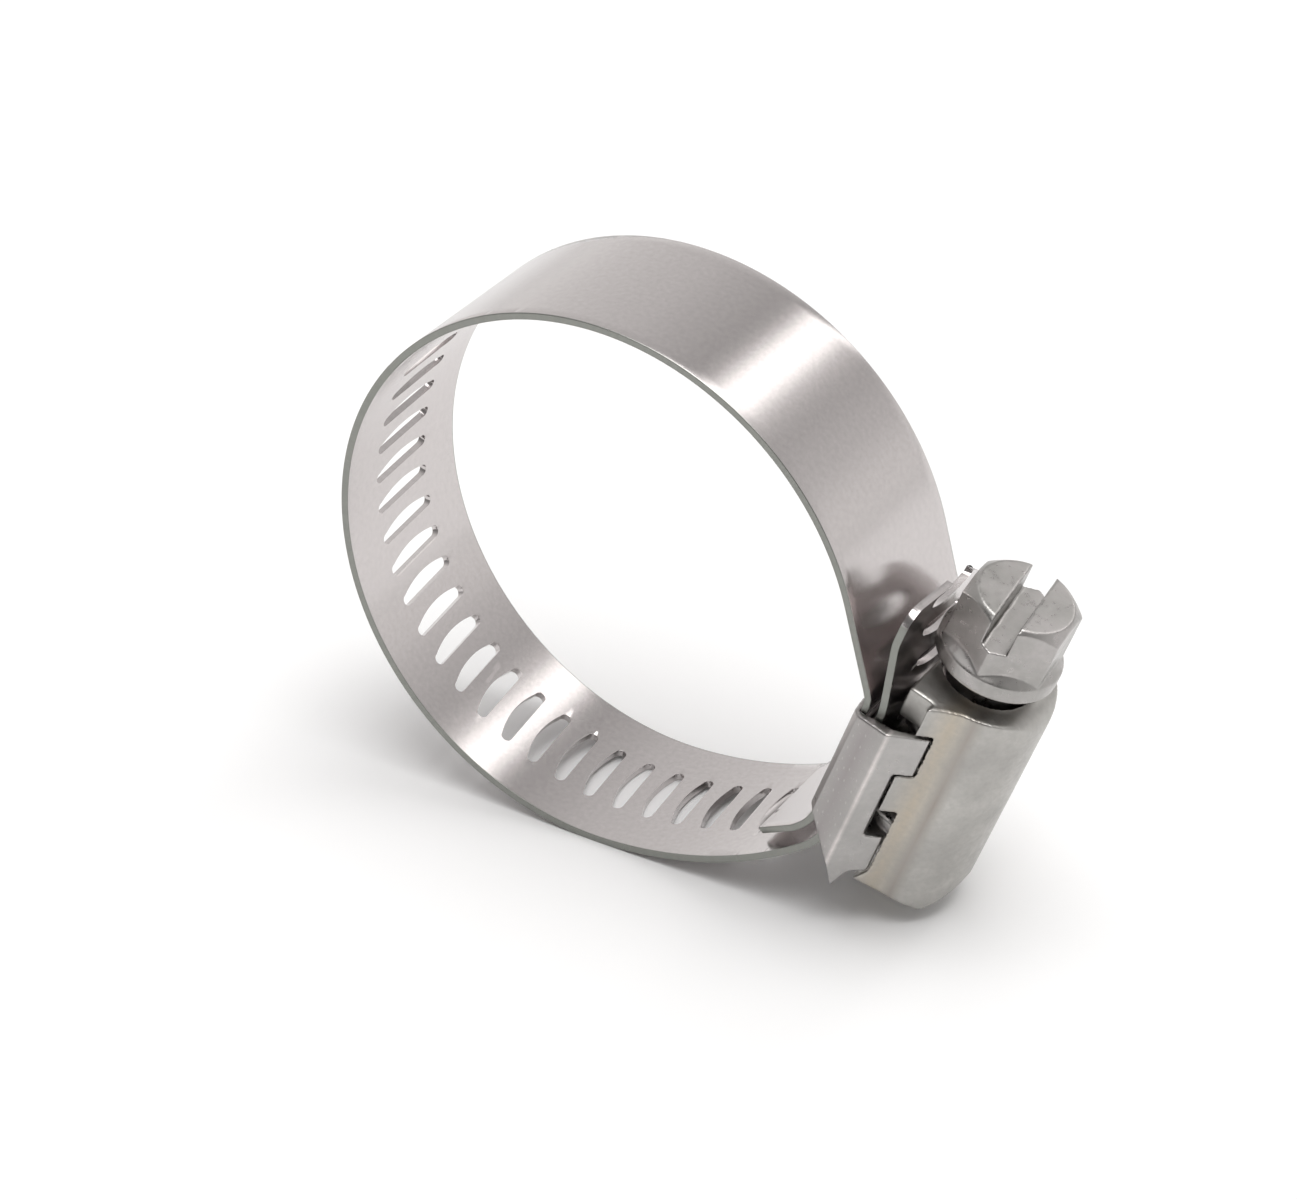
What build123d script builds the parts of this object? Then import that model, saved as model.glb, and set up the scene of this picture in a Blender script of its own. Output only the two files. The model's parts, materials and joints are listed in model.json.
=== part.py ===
from build123d import *
from math import acos, atan2, cos, degrees, hypot, pi, radians, sin
import os

# Worm-drive hose clamp: 12.7 mm perforated band, pressed housing and saddle, slotted hex screw.
# Row frame: origin at the centre of the hose bore, +Y along the bore, +Z up. The screw housing
# is on the +X side, turned housing_angle below +X. In the plane of the band's loop a point is
# (r, t): r outward from the bore centre through the housing, t along the screw to its head.

# ---- driving dimensions, mm ----
housing_angle = 20.0
bore_radius = 19.4
band_width = 12.7
band_thick = 0.5

slot_pitch = 2.4            # also the screw's pitch
slot_half_length = 2.9
slot_flat_side = 0.55
slot_round_side = 0.68
slots_in_loop = 26
slots_in_tail = 8

grip_r = 21.02              # middle of the perforated strip under the screw
mouth_t = -5.0              # where the strip starts to bend into the loop
mouth_bend_radius = 5.0
mouth_bend_angle = 34.0

exit_t = 4.88               # where the free tail starts to bend away from the screw
exit_bend_radius = 8.0
exit_angle = 12.0
tail_run = 4.0
tip_bend_radius = 4.0
tip_length = 2.2
tip_near_round = 1.3
tip_far_round = 6.0
tip_slant = 1.0
tail_joints = (3, 5)        # joints of the tail, in slot pitches above the first joint

first_joint = 0.88          # link joints, measured along the band from the mouth
entry_slots = 3             # in the link that is drawn into the housing
loop_link_ends = (24, 28)   # joints of the loop links, in slot pitches from the first joint

head_r = 19.9               # middle of the solid end under the saddle plate
head_bend_t = 5.8
head_bend_radius = 1.5
loop_end_t = 4.9
loop_end_gap = 0.3
tongue_bend_t = -4.4
tongue_bend_radius = 4.0
tongue_angle = 32.0
tongue_length = 5.2
tongue_tip_width = 8.4
tongue_taper_length = 4.6

screw_r = 24.67
crest_radius = 3.7
crest_width = 0.5
root_radius = 2.85
root_width = 1.1
thread_turns = 6
thread_start_t = -8.28
core_low_t = -8.9
shank_radius = 2.6
collar_radius = 4.15
collar_t = 9.25
collar_height = 1.3
collar_cone = 0.6
hex_across_flats = 7.0
hex_turn = 34.0
head_top_t = 14.9
crown_radius = 3.25
crown_drop = 0.75           # how far the crown falls from its flat to the corners of the hex
drive_slot_width = 1.75
drive_slot_depth = 2.2
drive_slot_turn = 6.0

sheet = 0.7
tunnel_radius = 4.85
tunnel_low_t = -10.2
tunnel_high_t = 7.9
tunnel_low_bulge = 2.6
tunnel_low_round = 3.0
tunnel_high_round = 1.6
neck_radius = 3.1
flare_start = 0.9          # where the skirts leave the round top, outward of the screw axis
skirt_r = 24.52
cheek_r = 21.72
cheek_half_width = 5.4
cheek_low_t = 5.5
mid_tab_r = 23.52
mid_tab_low_t = -1.6
mid_tab_high_t = 1.75

fold_r = 22.2
fold_half_width = 7.5
wall_slope = 0.88           # how much the side walls close in per mm of r
saddle_sheet = 0.5
hem_r = 19.32
hem_half_width = 6.85
hem_inner_half_width = 5.0
plate_r = 20.44
plate_low_t = -3.6
plate_high_t = 3.5
tab_r = 24.42
wall_r = 23.37
gap = 0.1

# ---- the plane of the loop ----
turn = radians(housing_angle)
outward = Vector(cos(turn), 0, -sin(turn))
along = Vector(sin(turn), 0, cos(turn))
across = Vector(0, 1, 0)
side_plane = Plane(origin=(0, 0, 0), x_dir=outward, z_dir=-across)


def place(r, t):
    """The point of the row frame at (r, t), in the middle of the band's width."""
    return outward * r + along * t


def section_plane(t, r=0.0):
    """Plane square to the screw at t: local x runs outward from r, local y along +Y."""
    return Plane(origin=place(r, t), x_dir=outward, z_dir=along)


# ---- the band's middle line ----
def normal(heading):
    """Outward normal, as (r, t), of band that heads inward from -t by this angle."""
    return cos(heading), -sin(heading)


def advance(point, heading, length, bend):
    """Where a stretch ends that starts at the point and bends inward by an angle on its way."""
    if bend == 0:
        return point[0] - length * sin(heading), point[1] - length * cos(heading)
    (r_low, t_low), (r_high, t_high) = normal(heading), normal(heading + bend)
    size = length / bend
    return point[0] + size * (r_high - r_low), point[1] + size * (t_high - t_low)


def stretches_from(point, heading, s, pieces):
    """Stretches (s, point, heading, length, bend) laid end to end from the first point."""
    laid = []
    for length, bend in pieces:
        laid.append((s, point, heading, length, bend))
        point = advance(point, heading, length, bend)
        heading += bend
        s += length
    return laid


ring_radius = bore_radius + band_thick / 2
mouth_bend = radians(mouth_bend_angle)
shoulder_start = advance((grip_r, mouth_t), 0.0, mouth_bend_radius * mouth_bend, mouth_bend)
reach = shoulder_start[0] * cos(mouth_bend) - shoulder_start[1] * sin(mouth_bend)
shoulder_size = hypot(*shoulder_start) ** 2 - ring_radius**2
shoulder_radius = shoulder_size / (2 * (reach - ring_radius))
shoulder_r = shoulder_start[0] - shoulder_radius * cos(mouth_bend)
shoulder_t = shoulder_start[1] + shoulder_radius * sin(mouth_bend)
ring_start = atan2(shoulder_t, -shoulder_r)
head_reach = hypot(head_r, head_bend_t)
flat_turn = acos(ring_radius / head_reach)
head_bend = atan2(head_bend_t, head_r) + flat_turn
head_trim = head_bend_radius * (head_bend / 2)

loop_pieces = [
    (mouth_bend_radius * mouth_bend, mouth_bend),
    (shoulder_radius * (ring_start - mouth_bend), ring_start - mouth_bend),
    (ring_radius * (2 * pi - head_bend - ring_start), 2 * pi - head_bend - ring_start),
    (head_reach * sin(flat_turn) - head_trim, 0),
    (head_bend_radius * head_bend, head_bend),
    (head_bend_t - head_trim - tongue_bend_t, 0),
    (tongue_bend_radius * radians(tongue_angle), radians(tongue_angle)),
    (tongue_length, 0),
]
tail_pieces = [
    (tip_length, 0),
    (tip_bend_radius * radians(exit_angle), -radians(exit_angle)),
    (tail_run, 0),
    (exit_bend_radius * radians(exit_angle), radians(exit_angle)),
    (exit_t - mouth_t, 0),
]
tail_length = sum(length for length, bend in tail_pieces)
tail_shape = stretches_from((0.0, 0.0), 0.0, 0.0, tail_pieces + [(1.0, 0)])
mouth_from_tip = tail_shape[-1][1]
tip = (grip_r - mouth_from_tip[0], mouth_t - mouth_from_tip[1])
stretches = stretches_from(tip, 0.0, -tail_length, tail_pieces + loop_pieces)
s_tip = -tail_length
s_tongue_tip = stretches[-1][0] + tongue_length
s_head_straight = stretches[-3][0]
s_loop_end = s_head_straight + (head_bend_t - head_trim - loop_end_t)


def band_at(s, offset=0.0):
    """(r, t) at the distance s along the band from the mouth, and the heading there."""
    laid = [stretch for stretch in stretches if stretch[0] <= s + 1e-9][-1]
    start, point, heading, length, bend = laid
    part_bend = bend * (s - start) / length
    r, t = advance(point, heading, s - start, part_bend)
    nr, nt = normal(heading + part_bend)
    return (r + offset * nr, t + offset * nt), heading + part_bend


def band_plane(s):
    """Plane on the band at s: local x along the band, local z out of its outer face."""
    (r, t), heading = band_at(s)
    nr, nt = normal(heading)
    run = outward * -sin(heading) - along * cos(heading)
    return Plane(origin=place(r, t), x_dir=run, z_dir=outward * nr + along * nt)


def lay_band(s_low, s_high):
    """Solid stretch of band between two places on its middle line."""
    starts = [stretch[0] for stretch in stretches]
    stops = [s_low] + [s for s in starts if s_low < s < s_high] + [s_high]
    half = band_thick / 2
    with BuildSketch(side_plane) as outline:
        with BuildLine():
            for offset in (-half, half):
                for low, high in zip(stops, stops[1:]):
                    first, heading = band_at(low, offset)
                    last, last_heading = band_at(high - 1e-7, offset)
                    if abs(last_heading - heading) < 1e-4:
                        Line(first, last)
                    else:
                        ThreePointArc(first, band_at((low + high) / 2, offset)[0], last)
            Line(band_at(s_low, -half)[0], band_at(s_low, half)[0])
            Line(band_at(s_high - 1e-7, -half)[0], band_at(s_high - 1e-7, half)[0])
        make_face()
    extrude(outline.sketch, amount=band_width / 2, both=True)


slot_slant = degrees(atan2(slot_pitch, 2 * pi * crest_radius))


def cut_slots(s_low, s_high):
    """Cut the slanted drive slots whose centres lie between two places on the band."""
    shoulder = slot_half_length * 0.86
    for k in range(-slots_in_tail, slots_in_loop):
        s = first_joint + slot_pitch * (k + 0.5)
        if not s_low < s < s_high:
            continue
        with BuildSketch(band_plane(s).rotated((0, 0, -slot_slant))) as slot:
            with BuildLine():
                Line((-slot_flat_side, -shoulder), (-slot_flat_side, shoulder))
                ThreePointArc((-slot_flat_side, shoulder), (-0.15, slot_half_length), (0.25, shoulder))
                ThreePointArc((0.25, shoulder), (slot_round_side, 0), (0.25, -shoulder))
                ThreePointArc((0.25, -shoulder), (-0.15, -slot_half_length), (-slot_flat_side, -shoulder))
            make_face()
        extrude(slot.sketch, amount=1.2 * band_thick, both=True, mode=Mode.SUBTRACT)


os.makedirs("parts", exist_ok=True)

# ---- band: the strip under the screw, and the free tail beyond it in two links ----
tail_low, tail_high = (first_joint - slot_pitch * k for k in tail_joints)
with BuildPart() as band_grip:
    lay_band(tail_low, first_joint)
    cut_slots(tail_low, first_joint)
band_grip.part.label = "band_grip"
export_step(band_grip.part, "parts/band_grip.step")

with BuildPart() as band_tail_link:
    lay_band(tail_high, tail_low)
    cut_slots(tail_high, tail_low)
band_tail_link.part.label = "band_tail_link"
export_step(band_tail_link.part, "parts/band_tail_link.step")

with BuildPart() as band_tail:
    lay_band(s_tip, tail_high)
    cut_slots(s_tip, tail_high)
    tip_t = band_at(s_tip)[0][1]
    half_width = band_width / 2
    near_y = tip_near_round - half_width
    near_end = [(near_y, 1)]
    far_end = [(near_y, 1), (near_y, 0)]
    tip_ends = ((-1, tip_near_round, 0.0, near_end), (1, tip_far_round, tip_slant, far_end))
    for side, radius, slant, inner in tip_ends:
        with BuildSketch(Plane(origin=place(0, tip_t), x_dir=across, z_dir=outward)) as corner:
            with BuildLine():
                part_way = radius * (1 - 0.5**0.5)
                first = (side * (half_width - radius), -slant)
                middle = (side * (half_width - part_way), -slant - part_way)
                last = (side * half_width, -slant - radius)
                ThreePointArc(first, middle, last)
                Polyline(last, (side * band_width, last[1]), (side * band_width, 1), *inner, first)
            make_face()
        extrude(corner.sketch, amount=2 * grip_r, mode=Mode.SUBTRACT)
band_tail.part.label = "band_tail"
export_step(band_tail.part, "parts/band_tail.step")

# ---- band: the link at the housing's mouth, then the long loop links ----
entry_end = first_joint + slot_pitch * entry_slots
with BuildPart() as band_entry:
    lay_band(first_joint, entry_end)
    cut_slots(first_joint, entry_end)
band_entry.part.label = "band_entry"
export_step(band_entry.part, "parts/band_entry.step")

loop_joints = [entry_end]
loop_joints += [entry_end + slot_pitch * k for k in loop_link_ends]
loop_joints.append(s_loop_end)
for number, (low, high) in enumerate(zip(loop_joints, loop_joints[1:]), start=1):
    with BuildPart() as loop_link:
        lay_band(low, high)
        cut_slots(low, high)
    loop_link.part.label = f"band_loop_{number}"
    export_step(loop_link.part, f"parts/band_loop_{number}.step")

# ---- band: the solid end, clenched under the saddle plate, with its tongue inside the loop ----
with BuildPart() as band_head:
    lay_band(s_loop_end + loop_end_gap, s_tongue_tip)
    with BuildSketch(band_plane(s_tongue_tip - 1e-6)) as taper:
        with BuildLine():
            Polyline(
                (1, tongue_tip_width / 2),
                (0, tongue_tip_width / 2),
                (-tongue_taper_length, band_width / 2),
                (-tongue_taper_length, band_width),
                (1, band_width),
                close=True,
            )
        make_face()
        mirror(about=Plane.XZ)
    extrude(taper.sketch, amount=2 * band_thick, both=True, mode=Mode.SUBTRACT)
band_head.part.label = "band_head"
export_step(band_head.part, "parts/band_head.step")

# ---- saddle: folded sheet with hems under the solid end, a plate over it and interlocking walls ----


def wall_y(r):
    """Outer face of the side walls."""
    return fold_half_width - wall_slope * (r - fold_r)


with BuildPart() as saddle:
    with BuildSketch(section_plane(-10.0)) as saddle_section:
        with BuildLine():
            Polyline(
                (tab_r, wall_y(tab_r)),
                (fold_r, fold_half_width),
                (hem_r + 0.5, hem_half_width + 0.1),
                (hem_r, hem_half_width - 0.5),
                (hem_r - 0.15, hem_inner_half_width),
                (hem_r + 0.3, hem_inner_half_width),
                (hem_r + 0.32, band_width / 2 + 0.1),
                (plate_r - saddle_sheet / 2, band_width / 2 + 0.1),
                (plate_r - saddle_sheet / 2, 0),
                (plate_r + saddle_sheet / 2, 0),
                (plate_r + saddle_sheet / 2, band_width / 2 + 0.1),
                (fold_r, fold_half_width - 0.9),
                (tab_r, wall_y(tab_r) - saddle_sheet),
                close=True,
            )
        make_face()
        mirror(about=Plane.XZ)
    extrude(saddle_section.sketch, amount=16.0)
    with BuildSketch(side_plane) as saddle_side:
        with BuildLine():
            Polyline(
                (hem_r - 0.15, 4.7),
                (fold_r, 5.3),
                (tab_r, 5.2),
                (tab_r, mid_tab_high_t + gap),
                (wall_r, mid_tab_high_t + gap),
                (wall_r, -4.0),
                (tab_r, -4.0),
                (tab_r, -7.2),
                (wall_r + 0.1, -7.5),
                (wall_r - 0.45, -9.0),
                (fold_r, -6.9),
                (hem_r + 0.45, -4.3),
                (hem_r - 0.15, -4.2),
            )
            ThreePointArc((hem_r - 0.15, -4.2), (hem_r, 0.2), (hem_r - 0.15, 4.7))
        make_face()
    extrude(saddle_side.sketch, amount=10, both=True, mode=Mode.INTERSECT)
    for low, high in ((-12.0, plate_low_t), (plate_high_t, 8.0)):
        with BuildSketch(section_plane(low, plate_r)) as plate_end:
            Rectangle(saddle_sheet + 0.02, band_width + 0.2)
        extrude(plate_end.sketch, amount=high - low, mode=Mode.SUBTRACT)
saddle.part.label = "saddle"
export_step(saddle.part, "parts/saddle.step")

# ---- housing: pressed shell over the screw ----
def shell_skin(inset, floor_r):
    """Solid bounded by the shell's outer skin, drawn in by the inset, with rounded ends."""
    radius = tunnel_radius - inset
    cheek = cheek_half_width - inset
    width = cheek_half_width + 1.0
    side = (radius**2 - flare_start**2) ** 0.5
    floor = floor_r - screw_r
    low = tunnel_low_t + inset
    high = tunnel_high_t - inset
    top = screw_r + tunnel_radius - inset
    with BuildSketch(section_plane(low - 1, screw_r)) as section:
        with BuildLine():
            ThreePointArc((flare_start, side), (radius, 0), (flare_start, -side))
            Line((flare_start, side), (flare_start, -side))
        make_face()
        with BuildLine():
            Polyline(
                (flare_start, side),
                (skirt_r - screw_r, wall_y(skirt_r) - inset),
                (mid_tab_r - screw_r, wall_y(mid_tab_r) - inset),
                (mid_tab_r - screw_r, cheek),
                (floor, cheek),
                (floor, 0),
                (flare_start, 0),
                close=True,
            )
        make_face()
        mirror(about=Plane.XZ)
    extrude(section.sketch, amount=high - low + 2)
    low_round = tunnel_low_round - inset
    high_round = tunnel_high_round - inset
    with BuildSketch(side_plane) as side_view:
        with BuildLine():
            Polyline((top - low_round, low), (floor_r - 1, low), (floor_r - 1, high), (top - high_round, high))
            CenterArc((top - high_round, high - high_round), high_round, 0, 90)
            Line((top, high - high_round), (top, low + low_round))
            CenterArc((top - low_round, low + low_round), low_round, 270, 90)
        make_face()
    extrude(side_view.sketch, amount=width, both=True, mode=Mode.INTERSECT)
    with BuildSketch(Plane(origin=(0, 0, 0), x_dir=across, z_dir=outward)) as top_view:
        with BuildLine():
            ThreePointArc((-width, low + tunnel_low_bulge), (0, low), (width, low + tunnel_low_bulge))
            Polyline(
                (width, low + tunnel_low_bulge),
                (width, high),
                (-width, high),
                (-width, low + tunnel_low_bulge),
            )
        make_face()
    extrude(top_view.sketch, amount=top + 1, mode=Mode.INTERSECT)


with BuildPart() as housing_room:
    shell_skin(sheet, cheek_r - 1)

with BuildPart() as housing:
    shell_skin(0, cheek_r)
    add(housing_room.part, mode=Mode.SUBTRACT)
    with BuildSketch(side_plane) as side_openings:
        with BuildLine():
            Polyline(
                (cheek_r - 1, cheek_low_t),
                (skirt_r, cheek_low_t),
                (skirt_r, mid_tab_high_t),
                (mid_tab_r, mid_tab_high_t),
                (mid_tab_r, mid_tab_low_t),
                (skirt_r, mid_tab_low_t),
                (skirt_r, -7.2),
                (skirt_r - 0.8, -8.4),
                (skirt_r - 0.8, tunnel_low_t - 1),
                (cheek_r - 1, tunnel_low_t - 1),
                close=True,
            )
        make_face()
    extrude(side_openings.sketch, amount=10, both=True, mode=Mode.SUBTRACT)
    with BuildSketch(section_plane(tunnel_high_t - 2, screw_r)) as neck:
        Circle(neck_radius)
    extrude(neck.sketch, amount=4, mode=Mode.SUBTRACT)
housing.part.label = "housing"
export_step(housing.part, "parts/housing.step")

# ---- screw: threaded core, shank, collar and slotted hex head in one piece ----
screw_axis = Axis(origin=place(screw_r, 0), direction=along)
head_low_t = collar_t + collar_height
corner_radius = hex_across_flats / 3**0.5
with BuildPart() as thread:
    with BuildLine() as thread_path:
        Helix(pitch=slot_pitch, height=thread_turns * slot_pitch, radius=root_radius)
    with BuildSketch(Plane.XZ) as thread_section:
        with BuildLine():
            Polyline(
                (root_radius - 0.2, -root_width / 2),
                (crest_radius, -crest_width / 2),
                (crest_radius, crest_width / 2),
                (root_radius - 0.2, root_width / 2),
                close=True,
            )
        make_face()
    sweep(thread_section.sketch, path=thread_path.line, is_frenet=True)

with BuildPart() as worm_screw:
    with BuildSketch(section_plane(head_low_t, screw_r)) as hexagon:
        RegularPolygon(hex_across_flats / 2, 6, major_radius=False, rotation=hex_turn)
    extrude(hexagon.sketch, amount=head_top_t - head_low_t)
    with BuildSketch(side_plane) as head_crown:
        with BuildLine():
            Polyline(
                (screw_r, head_low_t),
                (screw_r + corner_radius, head_low_t),
                (screw_r + corner_radius, head_top_t - crown_drop),
                (screw_r + crown_radius, head_top_t),
                (screw_r, head_top_t),
                close=True,
            )
        make_face()
    revolve(head_crown.sketch, axis=screw_axis, mode=Mode.INTERSECT)
    with BuildSketch(section_plane(head_top_t - drive_slot_depth, screw_r)) as drive_slot:
        Rectangle(drive_slot_width, 2 * hex_across_flats, rotation=drive_slot_turn)
    extrude(drive_slot.sketch, amount=2 * drive_slot_depth, mode=Mode.SUBTRACT)
    with BuildSketch(side_plane) as core:
        with BuildLine():
            Polyline(
                (screw_r, core_low_t),
                (screw_r + root_radius - 0.8, core_low_t),
                (screw_r + root_radius, core_low_t + 0.8),
                (screw_r + root_radius, tunnel_high_t - sheet - 0.3),
                (screw_r + shank_radius, tunnel_high_t - sheet - 0.05),
                (screw_r + shank_radius, collar_t - 0.5),
                (screw_r + collar_radius - 0.3, collar_t),
                (screw_r + collar_radius, collar_t + 0.2),
                (screw_r + collar_radius, head_low_t),
                (screw_r + hex_across_flats / 2, head_low_t + collar_cone),
                (screw_r, head_low_t + collar_cone),
                close=True,
            )
        make_face()
    revolve(core.sketch, axis=screw_axis)
    with Locations(section_plane(thread_start_t, screw_r)):
        add(thread.part)
worm_screw.part.label = "worm_screw"
export_step(worm_screw.part, "parts/worm_screw.step")
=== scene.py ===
import json
from math import acos, atan2, cos, hypot, pi, radians, sin, sqrt

import bmesh
import bpy
from mathutils import Matrix, Vector


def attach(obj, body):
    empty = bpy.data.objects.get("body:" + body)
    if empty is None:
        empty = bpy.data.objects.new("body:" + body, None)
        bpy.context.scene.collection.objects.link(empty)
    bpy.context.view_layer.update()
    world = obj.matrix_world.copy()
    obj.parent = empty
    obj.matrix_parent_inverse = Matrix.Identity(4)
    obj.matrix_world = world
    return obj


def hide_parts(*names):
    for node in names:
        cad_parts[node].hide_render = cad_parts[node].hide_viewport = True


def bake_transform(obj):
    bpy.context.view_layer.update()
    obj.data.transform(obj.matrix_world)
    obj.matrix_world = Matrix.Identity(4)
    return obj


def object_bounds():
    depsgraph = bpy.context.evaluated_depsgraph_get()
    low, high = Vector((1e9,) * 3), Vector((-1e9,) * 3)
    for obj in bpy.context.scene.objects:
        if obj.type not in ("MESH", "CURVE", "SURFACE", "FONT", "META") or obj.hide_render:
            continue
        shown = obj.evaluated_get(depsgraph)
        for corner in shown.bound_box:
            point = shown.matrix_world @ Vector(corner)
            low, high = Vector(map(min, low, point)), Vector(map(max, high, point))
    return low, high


# Worm-drive hose clamp. Lengths are in millimetres, as in the part's source, and are turned into
# metres where a mesh is finished. Light and camera are placed in metres where they say so.
# (r, t) are the axes of the band's loop: r outward from the bore's axis through the housing, t along
# the screw towards its head.
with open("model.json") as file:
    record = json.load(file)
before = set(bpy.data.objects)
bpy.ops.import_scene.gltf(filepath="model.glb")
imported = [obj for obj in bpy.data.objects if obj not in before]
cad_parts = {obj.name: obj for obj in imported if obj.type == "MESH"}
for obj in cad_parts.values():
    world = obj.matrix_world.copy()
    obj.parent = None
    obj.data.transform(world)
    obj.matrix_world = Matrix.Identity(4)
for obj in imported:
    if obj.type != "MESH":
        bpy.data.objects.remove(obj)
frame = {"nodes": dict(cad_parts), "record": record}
cad_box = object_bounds()
MM = 0.001
UV_PER_MM = 0.01

# ---- the band, as the part's source has it ----
housing_angle = 20.0
bore_radius = 19.4
band_width = 12.7
band_thick = 0.5
slot_pitch = 2.4
thread_radius = 3.7
slot_slant = atan2(slot_pitch, 2 * pi * thread_radius)
slots_in_loop = 26
slots_in_tail = 8
first_joint = 0.88
grip_r = 21.02
mouth_t = -5.0
mouth_bend_radius = 5.0
mouth_bend = radians(34.0)
exit_t = 4.88
exit_bend_radius = 8.0
exit_bend = radians(12.0)
tail_run = 4.0
tip_bend_radius = 4.0
tip_length = 2.2
head_r = 19.9
head_bend_t = 5.8
head_bend_radius = 1.5
loop_end_t = 4.9
loop_end_gap = 0.3
tongue_bend_t = -4.4
tongue_bend_radius = 4.0
tongue_bend = radians(32.0)
tongue_length = 5.2
tongue_tip_width = 8.4
tongue_taper_length = 4.6

turn = radians(housing_angle)
outward = Vector((cos(turn), 0, -sin(turn)))
along = Vector((sin(turn), 0, cos(turn)))
across = Vector((0, 1, 0))


def normal(heading):
    """Outward normal, as (r, t), of band that heads inward from -t by this angle."""
    return cos(heading), -sin(heading)


def advance(point, heading, length, bend):
    """Where a stretch ends that starts at the point and bends inward by an angle on its way."""
    if bend == 0:
        return point[0] - length * sin(heading), point[1] - length * cos(heading)
    (r_low, t_low), (r_high, t_high) = normal(heading), normal(heading + bend)
    size = length / bend
    return point[0] + size * (r_high - r_low), point[1] + size * (t_high - t_low)


def stretches_from(point, heading, s, pieces):
    """Stretches (s, point, heading, length, bend) laid end to end from the first point."""
    laid = []
    for length, bend in pieces:
        laid.append((s, point, heading, length, bend))
        point = advance(point, heading, length, bend)
        heading += bend
        s += length
    return laid


ring_radius = bore_radius + band_thick / 2
shoulder_start = advance((grip_r, mouth_t), 0.0, mouth_bend_radius * mouth_bend, mouth_bend)
reach = shoulder_start[0] * cos(mouth_bend) - shoulder_start[1] * sin(mouth_bend)
shoulder_radius = (hypot(*shoulder_start) ** 2 - ring_radius**2) / (2 * (reach - ring_radius))
shoulder_r = shoulder_start[0] - shoulder_radius * cos(mouth_bend)
shoulder_t = shoulder_start[1] + shoulder_radius * sin(mouth_bend)
ring_start = atan2(shoulder_t, -shoulder_r)
head_reach = hypot(head_r, head_bend_t)
flat_turn = acos(ring_radius / head_reach)
head_bend = atan2(head_bend_t, head_r) + flat_turn
head_trim = head_bend_radius * (head_bend / 2)
tail_pieces = [
    (tip_length, 0),
    (tip_bend_radius * exit_bend, -exit_bend),
    (tail_run, 0),
    (exit_bend_radius * exit_bend, exit_bend),
    (exit_t - mouth_t, 0),
]
loop_pieces = [
    (mouth_bend_radius * mouth_bend, mouth_bend),
    (shoulder_radius * (ring_start - mouth_bend), ring_start - mouth_bend),
    (ring_radius * (2 * pi - head_bend - ring_start), 2 * pi - head_bend - ring_start),
    (head_reach * sin(flat_turn) - head_trim, 0),
    (head_bend_radius * head_bend, head_bend),
    (head_bend_t - head_trim - tongue_bend_t, 0),
    (tongue_bend_radius * tongue_bend, tongue_bend),
    (tongue_length, 0),
]
tail_length = sum(length for length, bend in tail_pieces)
tail_shape = stretches_from((0.0, 0.0), 0.0, 0.0, tail_pieces + [(1.0, 0)])
mouth_from_tip = tail_shape[-1][1]
tip = (grip_r - mouth_from_tip[0], mouth_t - mouth_from_tip[1])
stretches = stretches_from(tip, 0.0, -tail_length, tail_pieces + loop_pieces)
s_tip = -tail_length
s_tongue_tip = stretches[-1][0] + tongue_length
s_loop_end = stretches[-3][0] + (head_bend_t - head_trim - loop_end_t)


def band_at(s):
    """(r, t) on the band's middle line at the distance s from the mouth, and the heading there."""
    laid = [stretch for stretch in stretches if stretch[0] <= s + 1e-9] or stretches[:1]
    start, point, heading, length, bend = laid[-1]
    part_bend = bend * (s - start) / length
    return advance(point, heading, s - start, part_bend), heading + part_bend


def axes_at(heading):
    """Directions along the band and out of its outer face."""
    nr, nt = normal(heading)
    return outward * -sin(heading) - along * cos(heading), outward * nr + along * nt


# ---- the band's flat pattern: x along the band, y across it, z out of its outer face ----
slot_end_y = 2.5
slot_end_radius = 0.4
slot_axis = -0.15
slot_flat_side = -0.55
slot_round_side = 0.68
slot_arc_radius = 7.45
end_steps = 5
side_steps = 12
strip_steps = 4
web_columns = 8
column_size = 0.55
edge_radius = 0.07
same_place = 1e-6


def slot_half(side):
    """Points down one side of a slot, tip to tip, about its centre: side 1 is the round one."""
    points = []
    for step in range(end_steps):
        angle = pi / 2 * step / end_steps
        reach_x = slot_end_radius * sin(angle)
        points.append((slot_axis + side * reach_x, -slot_end_y - slot_end_radius * cos(angle)))
    for step in range(side_steps + 1):
        y = slot_end_y * (2 * step / side_steps - 1)
        round_x = slot_round_side - slot_arc_radius + sqrt(slot_arc_radius**2 - y * y)
        points.append((round_x if side > 0 else slot_flat_side, y))
    points += [(x, -y) for x, y in reversed(points[:end_steps])]
    lean, upright = sin(slot_slant), cos(slot_slant)
    return [(x * upright + y * lean, y * upright - x * lean) for x, y in points]


def edge_rows(centre, side):
    """Points across the whole band, near edge to far edge, at a slot's side, or straight across."""
    if side:
        middle = slot_half(side)
    else:
        middle = [(0.0, y) for x, y in slot_half(1)]
    half = band_width / 2
    low, high = middle[0], middle[-1]
    rows = [(low[0], -half + (low[1] + half) * k / strip_steps) for k in range(strip_steps)]
    rows += middle
    rows += [(high[0], high[1] + (half - high[1]) * (k + 1) / strip_steps) for k in range(strip_steps)]
    return [(centre + x, y) for x, y in rows]


def slot_centres():
    """Where the slots are along the band, from the tail's to the last one of the loop."""
    return [first_joint + slot_pitch * (k + 0.5) for k in range(-slots_in_tail, slots_in_loop)]


def row_between(start, end, columns):
    """Points from one side of a web to the other, evenly spaced."""
    return [tuple(start[k] * (1 - c / columns) + end[k] * (c / columns) for k in (0, 1))
            for c in range(columns + 1)]


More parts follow.
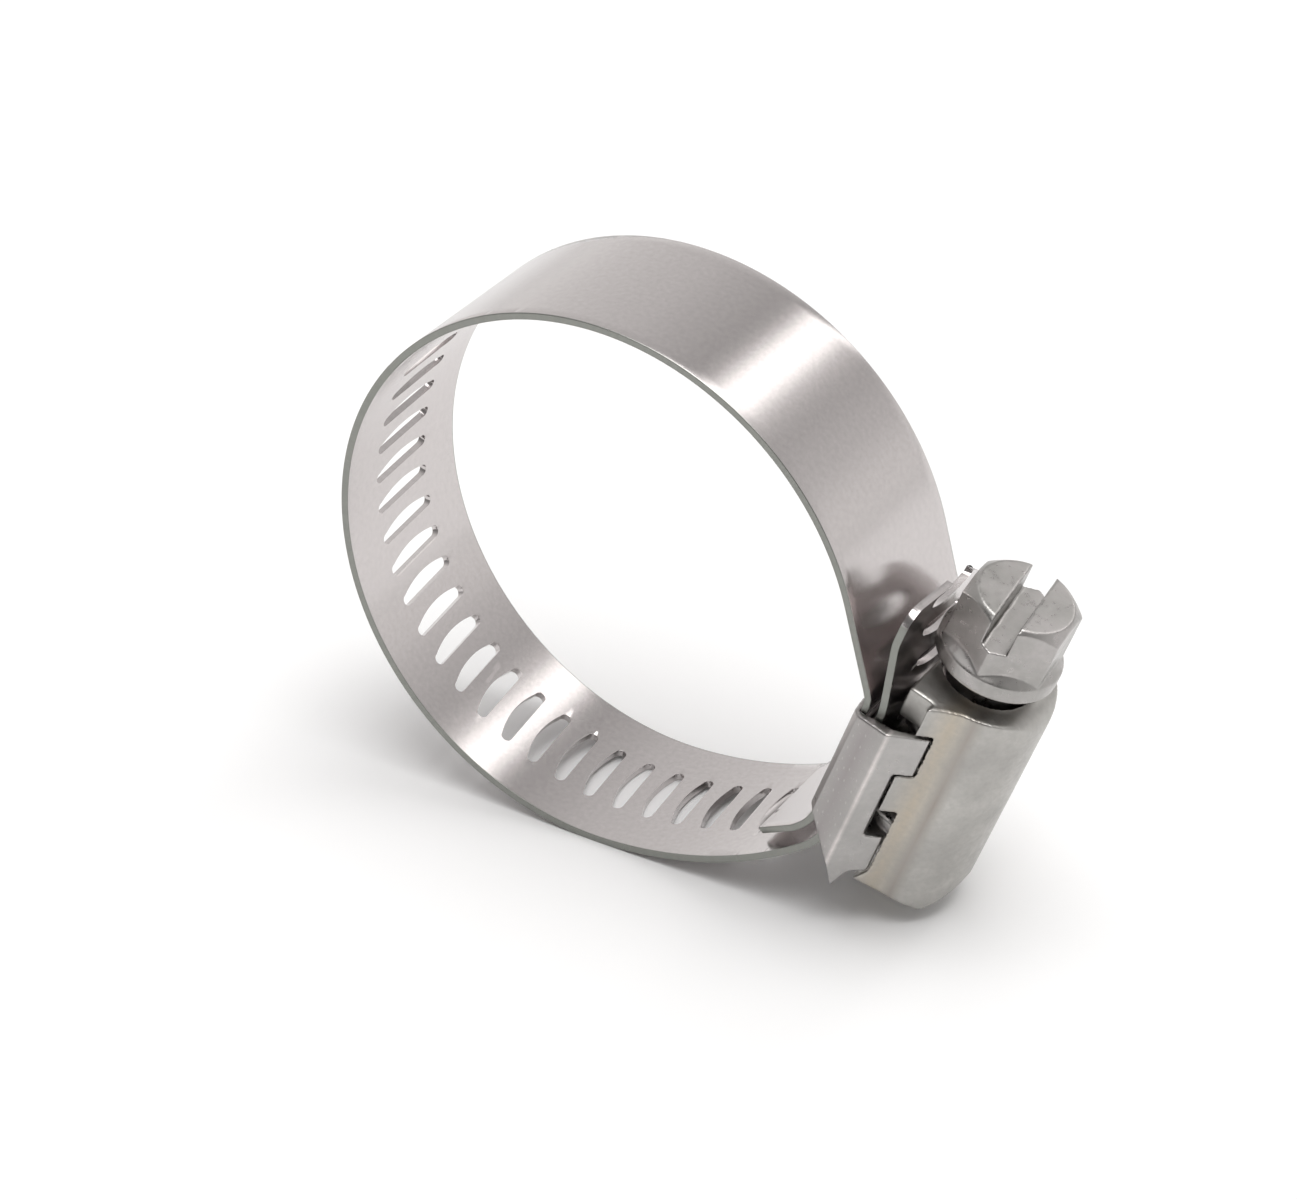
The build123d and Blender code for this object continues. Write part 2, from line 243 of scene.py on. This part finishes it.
def flat_plate(s_low, s_high, closed_low=False, closed_high=False):
    """The band's flat pattern between two places. Its ends are left open unless they are closed."""
    centres = [s for s in slot_centres() if s_low - same_place <= s <= s_high + same_place]
    stops = []
    if not centres or centres[0] > s_low + same_place:
        stops.append((s_low, False))
    stops += [(s, True) for s in centres]
    if not centres or centres[-1] < s_high - same_place:
        stops.append((s_high, False))
    bm = bmesh.new()
    half = band_thick / 2
    for (low, low_slot), (high, high_slot) in zip(stops, stops[1:]):
        left = edge_rows(low, 1 if low_slot else 0)
        right = edge_rows(high, -1 if high_slot else 0)
        columns = max(web_columns, int((high - low) / column_size))
        grid = [row_between(start, end, columns) for start, end in zip(left, right)]
        top = [[bm.verts.new((x, y, half)) for x, y in row] for row in grid]
        base = [[bm.verts.new((x, y, -half)) for x, y in row] for row in grid]
        last = len(grid) - 1
        for j in range(last):
            for c in range(columns):
                bm.faces.new((top[j][c], top[j][c + 1], top[j + 1][c + 1], top[j + 1][c]))
                bm.faces.new((base[j][c], base[j + 1][c], base[j + 1][c + 1], base[j][c + 1]))
            in_slot = strip_steps <= j < last - strip_steps
            if (low_slot and in_slot) or (closed_low and low == s_low):
                bm.faces.new((base[j][0], top[j][0], top[j + 1][0], base[j + 1][0]))
            if (high_slot and in_slot) or (closed_high and high == s_high):
                bm.faces.new((top[j][-1], base[j][-1], base[j + 1][-1], top[j + 1][-1]))
        for c in range(columns):
            bm.faces.new((base[0][c], base[0][c + 1], top[0][c + 1], top[0][c]))
            bm.faces.new((top[last][c], top[last][c + 1], base[last][c + 1], base[last][c]))
    bmesh.ops.remove_doubles(bm, verts=bm.verts, dist=1e-4)
    return bm


def cut_corners(bm, cutters):
    """A copy of the plate without the prisms whose outlines are given in the flat pattern."""
    plate = bpy.data.meshes.new("plate")
    bm.to_mesh(plate)
    bm.free()
    body = bpy.data.objects.new("plate", plate)
    bpy.context.scene.collection.objects.link(body)
    made = []
    for outline in cutters:
        knife = bmesh.new()
        face = knife.faces.new([knife.verts.new((x, y, -1)) for x, y in outline])
        grown = bmesh.ops.extrude_face_region(knife, geom=[face])
        lifted = [v for v in grown["geom"] if isinstance(v, bmesh.types.BMVert)]
        bmesh.ops.translate(knife, verts=lifted, vec=(0, 0, 2))
        bmesh.ops.recalc_face_normals(knife, faces=knife.faces)
        mesh = bpy.data.meshes.new("knife")
        knife.to_mesh(mesh)
        knife.free()
        tool = bpy.data.objects.new("knife", mesh)
        bpy.context.scene.collection.objects.link(tool)
        cut = body.modifiers.new("cut", "BOOLEAN")
        cut.object = tool
        cut.solver = "EXACT"
        made.append(tool)
    done = bpy.data.meshes.new_from_object(body.evaluated_get(bpy.context.evaluated_depsgraph_get()))
    out = bmesh.new()
    out.from_mesh(done)
    for item in [body, *made]:
        bpy.data.objects.remove(item)
    return out


def round_edges(bm, size, sharper_than=35.0):
    """Rounds the sharp edges of a flat pattern, then closes its open ends."""
    sharp = [e for e in bm.edges if len(e.link_faces) == 2 and e.calc_face_angle() > radians(sharper_than)]
    bmesh.ops.bevel(bm, geom=sharp, offset=size, offset_type="OFFSET", segments=2, profile=0.5,
                    affect="EDGES", clamp_overlap=True)
    filled = bmesh.ops.holes_fill(bm, edges=[e for e in bm.edges if e.is_boundary], sides=0)
    bmesh.ops.recalc_face_normals(bm, faces=bm.faces)
    return set(filled["faces"])


def bend_onto_path(bm, caps, name, width_at=None):
    """A mesh object of the flat pattern laid on the band's middle line, with UVs in the pattern.

    The caps, where one stretch of the band meets the next, don't count in the shading normals."""
    uv = bm.loops.layers.uv.new("UVMap")
    for face in bm.faces:
        face.smooth = True
        for loop in face.loops:
            loop[uv].uv = (loop.vert.co.x * UV_PER_MM, loop.vert.co.y * UV_PER_MM)
    bm.verts.ensure_lookup_table()
    normals = []
    for v in bm.verts:
        lean = Vector((0, 0, 0))
        for face in v.link_faces:
            if face not in caps:
                lean += face.normal * face.calc_area() ** 1.5
        (r, t), heading = band_at(v.co.x)
        run, out = axes_at(heading)
        lean = run * lean.x + across * lean.y + out * lean.z
        normals.append(lean.normalized() if lean.length > 0 else out)
        y = v.co.y * (width_at(v.co.x) if width_at else 1.0)
        v.co = (outward * r + along * t + across * y + out * v.co.z) * MM
    mesh = bpy.data.meshes.new(name)
    bm.to_mesh(mesh)
    bm.free()
    mesh.normals_split_custom_set_from_vertices(normals)
    piece = bpy.data.objects.new(name, mesh)
    bpy.context.scene.collection.objects.link(piece)
    return piece


def band_piece(name, s_low, s_high, closed_low=False, closed_high=False, cutters=(), width_at=None):
    """The band between two places: its flat pattern, cut, rounded and laid on the band's path."""
    bm = flat_plate(s_low, s_high, closed_low, closed_high)
    if cutters:
        bm = cut_corners(bm, cutters)
    caps = round_edges(bm, edge_radius)
    piece = bend_onto_path(bm, caps, name, width_at)
    return piece


# ---- band pieces: rigid stretches, and one piece across each joint ----
def joint_s(k):
    """Where web number k is along the band; the joints are at the middles of webs."""
    return first_joint + slot_pitch * k


# The band's joints, from the tail round to the fixed end: web number, body before, body after.
bends = [
    (-5, "tail", "tail_link"),
    (-3, "tail_link", "grip"),
    (0, "grip", "entry"),
    (3, "entry", "loop_1"),
    (27, "loop_1", "loop_2"),
    (31, "loop_2", "loop_3"),
]
body_node = {name: members[0] for name, members in frame["record"]["behaviour"]["bodies"].items()}
band_pieces = []
half_pitch = slot_pitch / 2
gap_cover = 0.1


def corner_arc(start_x, radius, side, steps):
    """A rounded corner of the tail, from its end to the band's edge: side 1 is the far edge."""
    arc = []
    for step in range(steps + 1):
        angle = pi / 2 * step / steps
        y = side * (band_width / 2 - radius * (1 - sin(angle)))
        arc.append((start_x + radius * (1 - cos(angle)), y))
    return arc


near_corner_radius = 1.3
far_corner_radius = 6.0
end_slant = 1.0
near_arc = corner_arc(s_tip, near_corner_radius, -1, 8)
far_arc = corner_arc(s_tip + end_slant, far_corner_radius, 1, 16)
off_end = s_tip - 1
off_edge = band_width / 2 + 1
tip_cuts = [
    [(off_end, -off_edge), (off_end, near_arc[0][1]), *near_arc, (near_arc[-1][0], -off_edge)],
    [(off_end, near_arc[0][1]), near_arc[0], *far_arc, (far_arc[-1][0], off_edge), (off_end, off_edge)],
]
start = s_tip
for k, before, after in bends:
    low, high = joint_s(k) - half_pitch, joint_s(k) + half_pitch
    first = start == s_tip
    cutters = tip_cuts if first else ()
    piece = band_piece(f"band_{before}_strip", start, low, closed_low=first, cutters=cutters)
    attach(piece, before)
    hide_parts(body_node[before])
    band_pieces.append(piece)
    piece = band_piece(f"band_bend_{before}", low, high)
    (r, t), heading = band_at(joint_s(k))
    run, out = axes_at(heading)
    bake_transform(piece)
    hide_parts(body_node[before], body_node[after])
    band_pieces.append(piece)
    start = high
loop_end = band_piece("band_loop_3_strip", start, s_loop_end + gap_cover, closed_high=True)
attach(loop_end, "loop_3")
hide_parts("band_loop_3")
band_pieces.append(loop_end)


def tongue_share(s):
    """Width of the fixed end as a share of the band's: its tongue tapers to its tip."""
    past = max(0.0, s - (s_tongue_tip - tongue_taper_length)) / tongue_taper_length
    return 1 - past * (1 - tongue_tip_width / band_width)


s_fixed_end = s_loop_end + loop_end_gap - gap_cover
tongue = band_piece("band_fixed_end", s_fixed_end, s_tongue_tip, True, True, width_at=tongue_share)
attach(tongue, "housing")
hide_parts("band_head")
band_pieces.append(tongue)


# ---- housing, saddle and screw: the CAD solid with its edges rounded as forming leaves them ----
def formed(name, node, body, voxel, rounds, keep=None):
    """A piece made from a CAD node: meshed evenly by voxels, then relaxed for some rounds.

    Of a node that gives two pieces, keep is a point and the direction of the half to keep."""
    bm = bmesh.new()
    bm.from_mesh(frame["nodes"][node].data)
    bmesh.ops.scale(bm, vec=(1 / MM,) * 3, verts=bm.verts)
    bmesh.ops.remove_doubles(bm, verts=bm.verts, dist=1e-4)
    if keep:
        point, direction = keep
        geom = list(bm.verts) + list(bm.edges) + list(bm.faces)
        cut = bmesh.ops.bisect_plane(bm, geom=geom, plane_co=point, plane_no=direction, clear_inner=True)
        rim = [e for e in cut["geom_cut"] if isinstance(e, bmesh.types.BMEdge)]
        bmesh.ops.holes_fill(bm, edges=rim, sides=0)
    mesh = bpy.data.meshes.new(name)
    bm.to_mesh(mesh)
    bm.free()
    piece = bpy.data.objects.new(name, mesh)
    bpy.context.scene.collection.objects.link(piece)
    remesh = piece.modifiers.new("remesh", "REMESH")
    remesh.mode = "VOXEL"
    remesh.voxel_size = voxel
    relax = piece.modifiers.new("relax", "SMOOTH")
    relax.factor = 0.5
    relax.iterations = rounds
    done = bpy.data.meshes.new_from_object(piece.evaluated_get(bpy.context.evaluated_depsgraph_get()))
    piece.modifiers.clear()
    piece.data = done
    done.transform(Matrix.Scale(MM, 4))
    for polygon in done.polygons:
        polygon.use_smooth = True
    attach(piece, body)
    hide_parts(node)
    return piece


# Smaller voxels keep finer edges, within the export's limit of triangles, and more rounds round them.
collar_low_t = 8.6
head_side = (along * collar_low_t, along)
thread_side = (along * collar_low_t, -along)
housing = formed("housing_shell", "housing", "housing", voxel=0.12, rounds=7)
saddle = formed("saddle_sheet", "saddle", "housing", voxel=0.09, rounds=10)
head = formed("screw_head", "worm_screw", "screw", voxel=0.08, rounds=4, keep=head_side)
thread = formed("screw_thread", "worm_screw", "screw", voxel=0.12, rounds=2, keep=thread_side)


# ---- materials ----
plain = (1.0, 1.0, 1.0)
sheared_colour = (0.27, 0.275, 0.255)
stain_scale, speck_scale = 260, 1500
speck_range = (0.58, 0.8)
# Pointiness range of the brighter edges and creases: partly rubbed wear, partly a painted highlight.
worn_and_highlit_edge_range = (0.62, 0.72)
sheared_roughness = 1.9
relief_height = 0.04 * MM


def node_of(material, kind, **settings):
    """A new shader node, with each setting put on its input of that name, or else on the node."""
    node = material.node_tree.nodes.new(kind)
    for name, value in settings.items():
        if name in node.inputs:
            node.inputs[name].default_value = value
        else:
            setattr(node, name, value)
    return node


def join(material, source, target):
    """A link from an output to an input."""
    material.node_tree.links.new(source, target)


def noise(material, place, stretch, scale, detail):
    """Noise over a place, drawn out along an axis whose stretch is low."""
    spread = node_of(material, "ShaderNodeMapping", Scale=stretch)
    join(material, place, spread.inputs["Vector"])
    grain = node_of(material, "ShaderNodeTexNoise", Scale=scale, Detail=detail, Roughness=0.6)
    join(material, spread.outputs["Vector"], grain.inputs["Vector"])
    return grain.outputs["Fac"]


def between(material, value, low, high, from_low=0.3, from_high=0.7):
    """A value turned into another range, clamped."""
    change = node_of(material, "ShaderNodeMapRange")
    change.inputs["From Min"].default_value = from_low
    change.inputs["From Max"].default_value = from_high
    change.inputs["To Min"].default_value = low
    change.inputs["To Max"].default_value = high
    join(material, value, change.inputs["Value"])
    return change.outputs["Result"]


def blended(material, share, first, second, kind="MIX"):
    """Two colours mixed by a share; either one is a socket or a plain colour."""
    mix = node_of(material, "ShaderNodeMix", data_type="RGBA", blend_type=kind)
    sockets = (mix.inputs[0], mix.inputs[6], mix.inputs[7])
    for socket, value in zip(sockets, (share, first, second)):
        if isinstance(value, bpy.types.NodeSocket):
            join(material, value, socket)
        elif socket == sockets[0]:
            socket.default_value = value
        else:
            socket.default_value = (*value, 1)
    return mix.outputs[2]


def times(material, first, second):
    """The product of two values."""
    product = node_of(material, "ShaderNodeMath", operation="MULTIPLY")
    join(material, first, product.inputs[0])
    join(material, second, product.inputs[1])
    return product.outputs[0]


def steel(name, light, dark, roughness, grain_stretch, grain_scale, relief, use_uv=False, tints_and_painted_light=()):
    """Worn steel: broad stains, fine grain in colour, roughness and relief, and edges brightened partly as
    wear and partly as a painted highlight.

    Each tint is a colour band about a distance from the bore's axis, which fades on both sides: a real
    tint of the metal on the housing, and painted shade and a painted highlight on the saddle."""
    material = bpy.data.materials.new(name)
    material.use_nodes = True
    shader = material.node_tree.nodes["Principled BSDF"]
    shader.inputs["Metallic"].default_value = 1.0
    where = node_of(material, "ShaderNodeTexCoord").outputs["UV" if use_uv else "Object"]
    stains = noise(material, where, plain, stain_scale, 5)
    specks = noise(material, where, plain, speck_scale, 3)
    grain = noise(material, where, grain_stretch, grain_scale, 4)
    colour = blended(material, between(material, stains, 0, 1), dark, light)
    for hue, centre, half_width in tints_and_painted_light:
        distance = node_of(material, "ShaderNodeVectorMath", operation="DOT_PRODUCT")
        join(material, where, distance.inputs[0])
        distance.inputs[1].default_value = outward
        height = distance.outputs["Value"]
        rise = between(material, height, 0, 1, (centre - half_width) * MM, centre * MM)
        fall = between(material, height, 1, 0, centre * MM, (centre + half_width) * MM)
        uneven = between(material, stains, 0.55, 1.0)
        colour = blended(material, times(material, times(material, rise, fall), uneven), colour, hue)
    colour = blended(material, between(material, grain, 0.0, 0.35), colour, dark)
    colour = blended(material, between(material, specks, 0.0, 0.08, *speck_range), colour, dark)
    # Edges and creases get a brighter colour from Pointiness: partly rubbed wear, partly a painted
    # highlight along the ridges.
    edge = node_of(material, "ShaderNodeNewGeometry").outputs["Pointiness"]
    worn_and_highlit = [min(1, 1.25 * c) for c in light]
    colour = blended(material, between(material, edge, 0.0, 0.5, *worn_and_highlit_edge_range), colour, worn_and_highlit)
    low, high = roughness
    rough = between(material, grain, low, high)
    if use_uv:
        sides = node_of(material, "ShaderNodeSeparateXYZ")
        join(material, where, sides.inputs[0])
        off_middle = node_of(material, "ShaderNodeMath", operation="ABSOLUTE")
        join(material, sides.outputs["Y"], off_middle.inputs[0])
        sheared_from = (band_width / 2 - 0.08) * UV_PER_MM
        sheared_to = (band_width / 2 - 0.03) * UV_PER_MM
        sheared = between(material, off_middle.outputs[0], 0, 1, sheared_from, sheared_to)
        colour = blended(material, sheared, colour, sheared_colour)
        rough = times(material, rough, between(material, sheared, 1.0, sheared_roughness, 0, 1))
    join(material, colour, shader.inputs["Base Color"])
    join(material, rough, shader.inputs["Roughness"])
    bump = node_of(material, "ShaderNodeBump", Strength=relief, Distance=relief_height)
    join(material, grain, bump.inputs["Height"])
    join(material, bump.outputs["Normal"], shader.inputs["Normal"])
    return material


# Rolled strip, brushed along its length.
band_steel = steel(
    "band_steel", light=(0.62, 0.585, 0.58), dark=(0.55, 0.52, 0.515), roughness=(0.14, 0.25),
    grain_stretch=(0.04, 1.0, 1.0), grain_scale=9000, relief=0.05, use_uv=True)
# Pressed sheet, matte and mottled, with a straw tint along its shoulders and a brown one above it.
straw = ((0.49, 0.43, 0.345), 25.1, 1.3)
brown = ((0.33, 0.30, 0.27), 26.3, 0.7)
housing_steel = steel(
    "housing_steel", light=(0.52, 0.51, 0.485), dark=(0.37, 0.36, 0.345), roughness=(0.30, 0.46),
    grain_stretch=plain, grain_scale=2600, relief=0.3, tints_and_painted_light=[straw, brown])
# Folded sheet, with painted shade along its hemmed part and a painted highlight along its folded ridge.
# Painted shade: a darker band about this distance from the bore's axis.
hem_painted_shade = ((0.30, 0.275, 0.275), 20.8, 1.7)
# Painted highlight: a narrow bright band along the crease at this distance from the bore's axis.
fold_painted_highlight = ((0.80, 0.75, 0.73), 22.25, 0.2)
saddle_steel = steel(
    "saddle_steel", light=(0.50, 0.485, 0.475), dark=(0.38, 0.37, 0.36), roughness=(0.26, 0.42),
    grain_stretch=(1.0, 0.35, 1.0), grain_scale=2400, relief=0.3, tints_and_painted_light=[hem_painted_shade, fold_painted_highlight])
# Cold-forged screw.
screw_steel = steel(
    "screw_steel", light=(0.50, 0.475, 0.47), dark=(0.34, 0.335, 0.32), roughness=(0.24, 0.44),
    grain_stretch=plain, grain_scale=1800, relief=0.12)
made_of = [(housing, housing_steel), (saddle, saddle_steel), (head, screw_steel), (thread, screw_steel)]
made_of += [(piece, band_steel) for piece in band_pieces]
for piece, material in made_of:
    piece.data.materials.clear()
    piece.data.materials.append(material)

# ---- floor, light and camera ----
floor_radius = 3.0  # metres
bm = bmesh.new()
bmesh.ops.create_circle(bm, cap_ends=True, segments=96, radius=floor_radius)
floor_mesh = bpy.data.meshes.new("floor")
bm.to_mesh(floor_mesh)
bm.free()
floor = bpy.data.objects.new("floor", floor_mesh)
bpy.context.scene.collection.objects.link(floor)
floor.location = (0, 0, cad_box[0].z)
paper = bpy.data.materials.new("floor_paper")
paper.use_nodes = True
paper_shader = paper.node_tree.nodes["Principled BSDF"]
paper_shader.inputs["Base Color"].default_value = (0.93, 0.93, 0.93, 1)
paper_shader.inputs["Roughness"].default_value = 0.9
floor_mesh.materials.append(paper)

world = bpy.data.worlds.new("studio")
bpy.context.scene.world = world
world.use_nodes = True
nodes, links = world.node_tree.nodes, world.node_tree.links
nodes.clear()
coordinate = nodes.new("ShaderNodeTexCoord")
parts = nodes.new("ShaderNodeSeparateXYZ")
links.new(coordinate.outputs["Generated"], parts.inputs[0])
angle = nodes.new("ShaderNodeMath")
angle.operation = "ARCTAN2"
links.new(parts.outputs["Z"], angle.inputs[0])
links.new(parts.outputs["X"], angle.inputs[1])
share = nodes.new("ShaderNodeMapRange")
share.inputs["From Min"].default_value = -pi
share.inputs["From Max"].default_value = pi
links.new(angle.outputs[0], share.inputs["Value"])
ramp = nodes.new("ShaderNodeValToRGB")
links.new(share.outputs[0], ramp.inputs[0])
ramp.color_ramp.interpolation = "EASE"
# The studio's light round the bore's axis: degrees from +X up towards +Z, and the strength there.
strongest = 2.4
warmth = (1.0, 0.985, 0.975)
around = [
    (-180, 0.92), (-60, 0.72), (-10, 0.5), (-4, 0.34), (2, 0.96), (12, 0.9),
    (30, 0.7), (48, 0.56), (59, 0.8), (65, 2.4), (75, 2.4), (81, 0.5),
    (87, 0.42), (100, 0.6), (125, 0.76), (150, 0.84), (175, 0.96),
]
for number, (degree, light) in enumerate(around):
    place = (degree + 180) / 360
    level = light / strongest
    if number < 2:
        stop = ramp.color_ramp.elements[number]
        stop.position = place
    else:
        stop = ramp.color_ramp.elements.new(place)
    stop.color = (*(level * channel for channel in warmth), 1)
background = nodes.new("ShaderNodeBackground")
background.inputs["Strength"].default_value = strongest
# The studio is darker on the camera's side, -Y, as the dark near faces in the photograph show.
near_side = nodes.new("ShaderNodeMapRange")
near_side.inputs["From Min"].default_value = -0.75
near_side.inputs["From Max"].default_value = 0.3
near_side.inputs["To Min"].default_value = 0.3
near_side.inputs["To Max"].default_value = 1.0
links.new(parts.outputs["Y"], near_side.inputs["Value"])
dimmed = nodes.new("ShaderNodeVectorMath")
dimmed.operation = "SCALE"
links.new(ramp.outputs[0], dimmed.inputs[0])
links.new(near_side.outputs[0], dimmed.inputs["Scale"])
links.new(dimmed.outputs[0], background.inputs["Color"])
result = nodes.new("ShaderNodeOutputWorld")
links.new(background.outputs[0], result.inputs[0])

lamp = bpy.data.lights.new("softbox", "AREA")
lamp.shape = "RECTANGLE"
lamp.size = 0.9
lamp.size_y = 0.9
lamp.energy = 9
box_light = bpy.data.objects.new("softbox", lamp)
bpy.context.scene.collection.objects.link(box_light)
box_light.location = (0.15, -0.1, 1.2)  # metres
box_light.rotation_euler = (-box_light.location).to_track_quat("-Z", "Y").to_euler()

camera_data = bpy.data.cameras.new("camera")
camera = bpy.data.objects.new("camera", camera_data)
bpy.context.scene.collection.objects.link(camera)
camera_data.sensor_width = 36
camera_data.lens = 111.0937
# The camera was fitted before the bore was made a true circle, and the part's origin has moved since.
origin_shift = 0.37
camera.location = (Vector((118.6, -193.3, 138.8)) + outward * origin_shift) * MM
azimuth, elevation = radians(31.5), radians(32.15)
forward = Vector((-sin(azimuth) * cos(elevation), cos(azimuth) * cos(elevation), -sin(elevation)))
camera.rotation_euler = forward.to_track_quat("-Z", "Y").to_euler()
camera_data.clip_start = 0.01
camera_data.clip_end = 20
bpy.context.scene.camera = camera
bpy.context.scene.view_settings.view_transform = "Standard"
